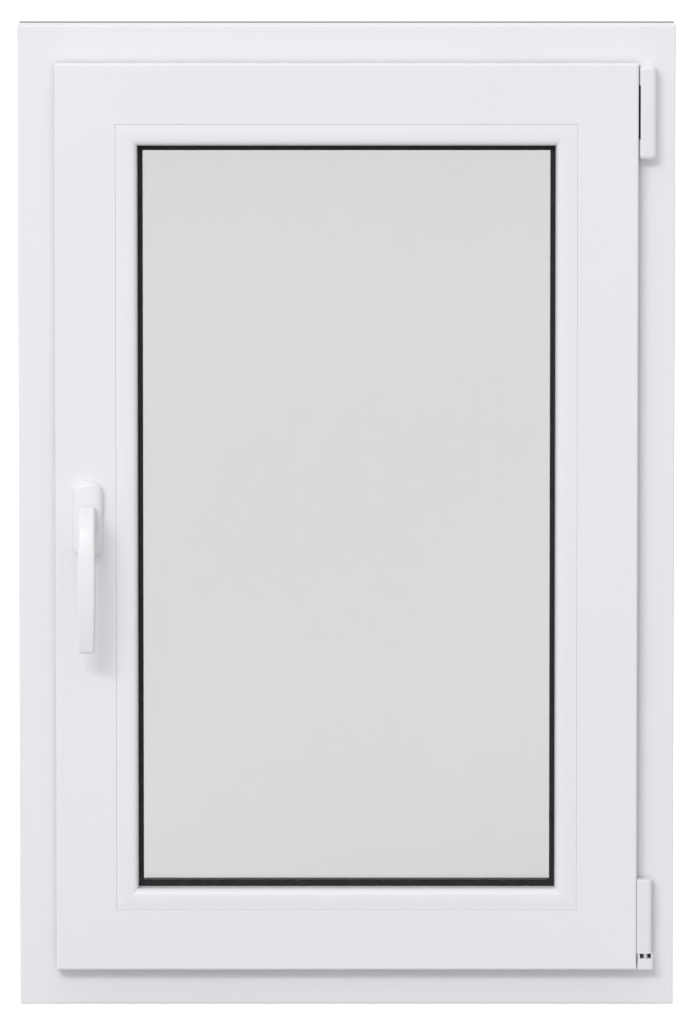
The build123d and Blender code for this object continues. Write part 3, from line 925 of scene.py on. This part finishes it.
@dataclass
class HingeCover:
    """Thin moulded cover of the upper hinge, rounded towards the room and open behind.

    Its corners by the sash are drawn in to near_share of the others.
    """

    corner: float = 0.0052
    rim: float = 0.0048
    near_share: float = 0.62
    wall: float = 0.0015
    slot_length: float = 0.049
    slot_bite: float = 0.0011
    place: Place = Place("upper_hinge_cover", "top_hinge_cap", Body.WINDOW, Slot.CAP)

    def build(self, material: bpy.types.Material) -> None:
        """Makes the cover.

        Args:
            material: Finish of the cover.
        """
        low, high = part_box(self.place.node)
        piece = bmesh.new()
        rounded_block(piece, low, high, self.corner, self.rim)
        reach = low.x + self.corner + MERGE_DISTANCE
        near = [vert for vert in piece.verts if vert.co.x < reach]
        bmesh.ops.scale(
            piece, vec=(self.near_share, 1.0, 1.0), verts=near,
            space=Matrix.Translation((-low.x, 0.0, 0.0)),
        )
        back = [
            face for face in piece.faces
            if all(vert.co.y > high.y - MERGE_DISTANCE for vert in face.verts)
        ]
        bmesh.ops.delete(piece, geom=back, context="FACES_ONLY")
        self.cut_slot(piece, low, high)
        bmesh.ops.recalc_face_normals(piece, faces=piece.faces)
        bmesh.ops.solidify(piece, geom=piece.faces[:], thickness=self.wall)
        self.place.settle(piece, material)

    def cut_slot(self, piece: bmesh.types.BMesh, low: Vector, high: Vector) -> None:
        """Cuts the slot that the arm passes through, half way up the side by the sash.

        Args:
            piece: Shell of the cover.
            low: Lowest corner of the cover.
            high: Highest corner of the cover.
        """
        middle = (low.z + high.z) / 2
        bottom, top = middle - self.slot_length / 2, middle + self.slot_length / 2
        depth = low.x + self.slot_bite
        for point, across in (
            ((0.0, 0.0, bottom), (0.0, 0.0, 1.0)),
            ((0.0, 0.0, top), (0.0, 0.0, 1.0)),
            ((depth, 0.0, 0.0), (1.0, 0.0, 0.0)),
        ):
            whole = piece.verts[:] + piece.edges[:] + piece.faces[:]
            bmesh.ops.bisect_plane(piece, geom=whole, plane_co=point, plane_no=across)
        gone = []
        for face in piece.faces:
            centre = face.calc_center_median()
            if centre.x < depth and bottom < centre.z < top:
                gone.append(face)
        bmesh.ops.delete(piece, geom=gone, context="FACES")


@dataclass
class Fittings:
    """Handle and hinges."""

    caps: tuple[str, ...] = ("bottom_hinge_bearing", "bottom_hinge_sleeve", "drain_caps")
    zinc: tuple[str, ...] = (
        "handle_spindle", "top_hinge_bearing", "top_hinge_pin",
        "bottom_hinge_pin", "bottom_hinge_arm",
    )

    def build(self) -> None:
        """Shapes and dresses the handle and the hinges."""
        lacquer = WhiteLacquer().make()
        Rosette().build(lacquer)
        Lever().build(lacquer)
        moulded = MouldedWhite().make()
        HingeCover().build(moulded)
        for node in self.caps:
            dress(node, moulded)
        plated = ZINC_PLATING.make()
        for node in self.zinc:
            dress(node, plated)
        # The arm's black is partly painted shade for the cover's slot.
        dress("top_hinge_arm", ARM_BLACK_WITH_SLOT_SHADE.make())
        # The collar's dark is partly painted shade for the gap behind the pin.
        dress("bottom_hinge_collar", BEARING_GREY_WITH_GAP_SHADE.make())


def seen_directly(tree: bpy.types.NodeTree) -> Socket:
    """Finds out whether a ray comes from the camera, a reflection or through glass.

    Args:
        tree: Node tree in which the nodes are made.

    Returns:
        Socket that is 1 for such rays.
    """
    path = tree.nodes.new("ShaderNodeLightPath")
    seen = path.outputs["Is Camera Ray"]
    for name in ("Is Glossy Ray", "Is Transmission Ray"):
        either = tree.nodes.new("ShaderNodeMath")
        either.operation = "MAXIMUM"
        tree.links.new(seen, either.inputs[0])
        tree.links.new(path.outputs[name], either.inputs[1])
        seen = either.outputs[0]
    return seen


@dataclass
class Studio:
    """Floor, soft world light, key light and camera."""

    floor_size: float = 80.0
    floor_colour: Colour = (0.55, 0.55, 0.55)
    floor_glow: float = 0.80
    sky_level: float = 0.61
    sky_slope: float = 0.30
    sky_bright_side: Colour = (-0.20, -0.20, 0.96)
    key_power: float = 465.0
    key_distance: float = 12.0
    key_width: float = 5.2
    key_height: float = 1.9
    key_across: float = -0.34
    key_up: float = 0.55
    camera_distance: float = 9.0
    camera_rise: float = 0.8874
    aim_height: float = 0.4545
    lens: float = 347.41
    view_reach: float = 200.0

    def build(self) -> None:
        """Makes the studio."""
        self.make_floor()
        self.make_world()
        self.make_key()
        self.make_camera()
        LOG.info("studio ready")

    def make_floor(self) -> None:
        """Lays the pale floor, which looks white but keeps the shadow of the window."""
        grid = bmesh.new()
        bmesh.ops.create_grid(grid, x_segments=1, y_segments=1, size=self.floor_size / 2)
        mesh = bpy.data.meshes.new("floor")
        grid.to_mesh(mesh)
        grid.free()
        floor = bpy.data.objects.new("floor", mesh)
        bpy.context.collection.objects.link(floor)
        recipe = Recipe("floor_white")
        diffuse = recipe.add("ShaderNodeBsdfDiffuse", Color=self.floor_colour)
        glow = recipe.add("ShaderNodeEmission", Color=(1.0, 1.0, 1.0))
        scale = recipe.tree.nodes.new("ShaderNodeMath")
        scale.operation = "MULTIPLY"
        scale.inputs[1].default_value = self.floor_glow
        recipe.feed(scale.inputs[0], seen_directly(recipe.tree))
        recipe.feed(glow.inputs["Strength"], scale.outputs[0])
        both = recipe.tree.nodes.new("ShaderNodeAddShader")
        recipe.feed(both.inputs[0], diffuse.outputs[0])
        recipe.feed(both.inputs[1], glow.outputs[0])
        recipe.feed(recipe.output.inputs["Surface"], both.outputs[0])
        mesh.materials.append(recipe.material)

    def make_world(self) -> None:
        """Makes a soft sky, brightest high at the left, that looks white where it is seen."""
        world = bpy.data.worlds.new("studio")
        bpy.context.scene.world = world
        world.use_nodes = True
        tree = world.node_tree
        tree.nodes.clear()
        output = tree.nodes.new("ShaderNodeOutputWorld")
        background = tree.nodes.new("ShaderNodeBackground")
        coordinates = tree.nodes.new("ShaderNodeTexCoord")
        towards = tree.nodes.new("ShaderNodeVectorMath")
        towards.operation = "DOT_PRODUCT"
        towards.inputs[1].default_value = self.sky_bright_side
        tree.links.new(coordinates.outputs["Generated"], towards.inputs[0])
        level = tree.nodes.new("ShaderNodeMath")
        level.operation = "MULTIPLY_ADD"
        level.inputs[1].default_value = self.sky_slope
        level.inputs[2].default_value = self.sky_level
        tree.links.new(towards.outputs["Value"], level.inputs[0])
        choice = tree.nodes.new("ShaderNodeMix")
        choice.data_type = "FLOAT"
        tree.links.new(seen_directly(tree), choice.inputs["Factor"])
        tree.links.new(level.outputs[0], choice.inputs[MIX_FLOAT_A])
        choice.inputs[MIX_FLOAT_B].default_value = 1.0
        tree.links.new(choice.outputs[0], background.inputs["Strength"])
        background.inputs["Color"].default_value = (1.0, 1.0, 1.0, 1.0)
        tree.links.new(background.outputs[0], output.inputs["Surface"])

    def make_key(self) -> None:
        """Hangs the large soft key light high at the left, in front of the window."""
        light = bpy.data.lights.new("key", "AREA")
        light.shape = "RECTANGLE"
        light.size = self.key_width
        light.size_y = self.key_height
        light.energy = self.key_power
        key = bpy.data.objects.new("key", light)
        bpy.context.collection.objects.link(key)
        middle = (cad_box[0] + cad_box[1]) / 2
        towards = Vector((self.key_across, -1.0, self.key_up)).normalized()
        key.location = middle + towards * self.key_distance
        key.rotation_mode = "QUATERNION"
        key.rotation_quaternion = (-towards).to_track_quat("-Z", "Y")

    def make_camera(self) -> None:
        """Sets the camera where the photograph was taken from, with a long lens."""
        data = bpy.data.cameras.new("camera")
        data.lens = self.lens
        data.clip_end = self.view_reach
        camera = bpy.data.objects.new("camera", data)
        bpy.context.collection.objects.link(camera)
        face_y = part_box("frame_left")[0].y
        middle_z = (cad_box[0].z + cad_box[1].z) / 2
        place = Vector((0.0, face_y - self.camera_distance, middle_z + self.camera_rise))
        aim = Vector((0.0, face_y, self.aim_height))
        camera.location = place
        camera.rotation_mode = "QUATERNION"
        camera.rotation_quaternion = (aim - place).to_track_quat("-Z", "Y")
        bpy.context.scene.camera = camera


def main() -> None:
    """Builds and dresses the window, piece by piece."""
    logging.basicConfig(level=logging.INFO, format="%(name)s: %(message)s")
    bpy.context.scene.view_settings.view_transform = "Standard"
    ProfileRings().build()
    Seals().build()
    Glazing().build()
    HiddenSteel().build()
    Fittings().build()
    Studio().build()


if __name__ == "__main__":
    main()
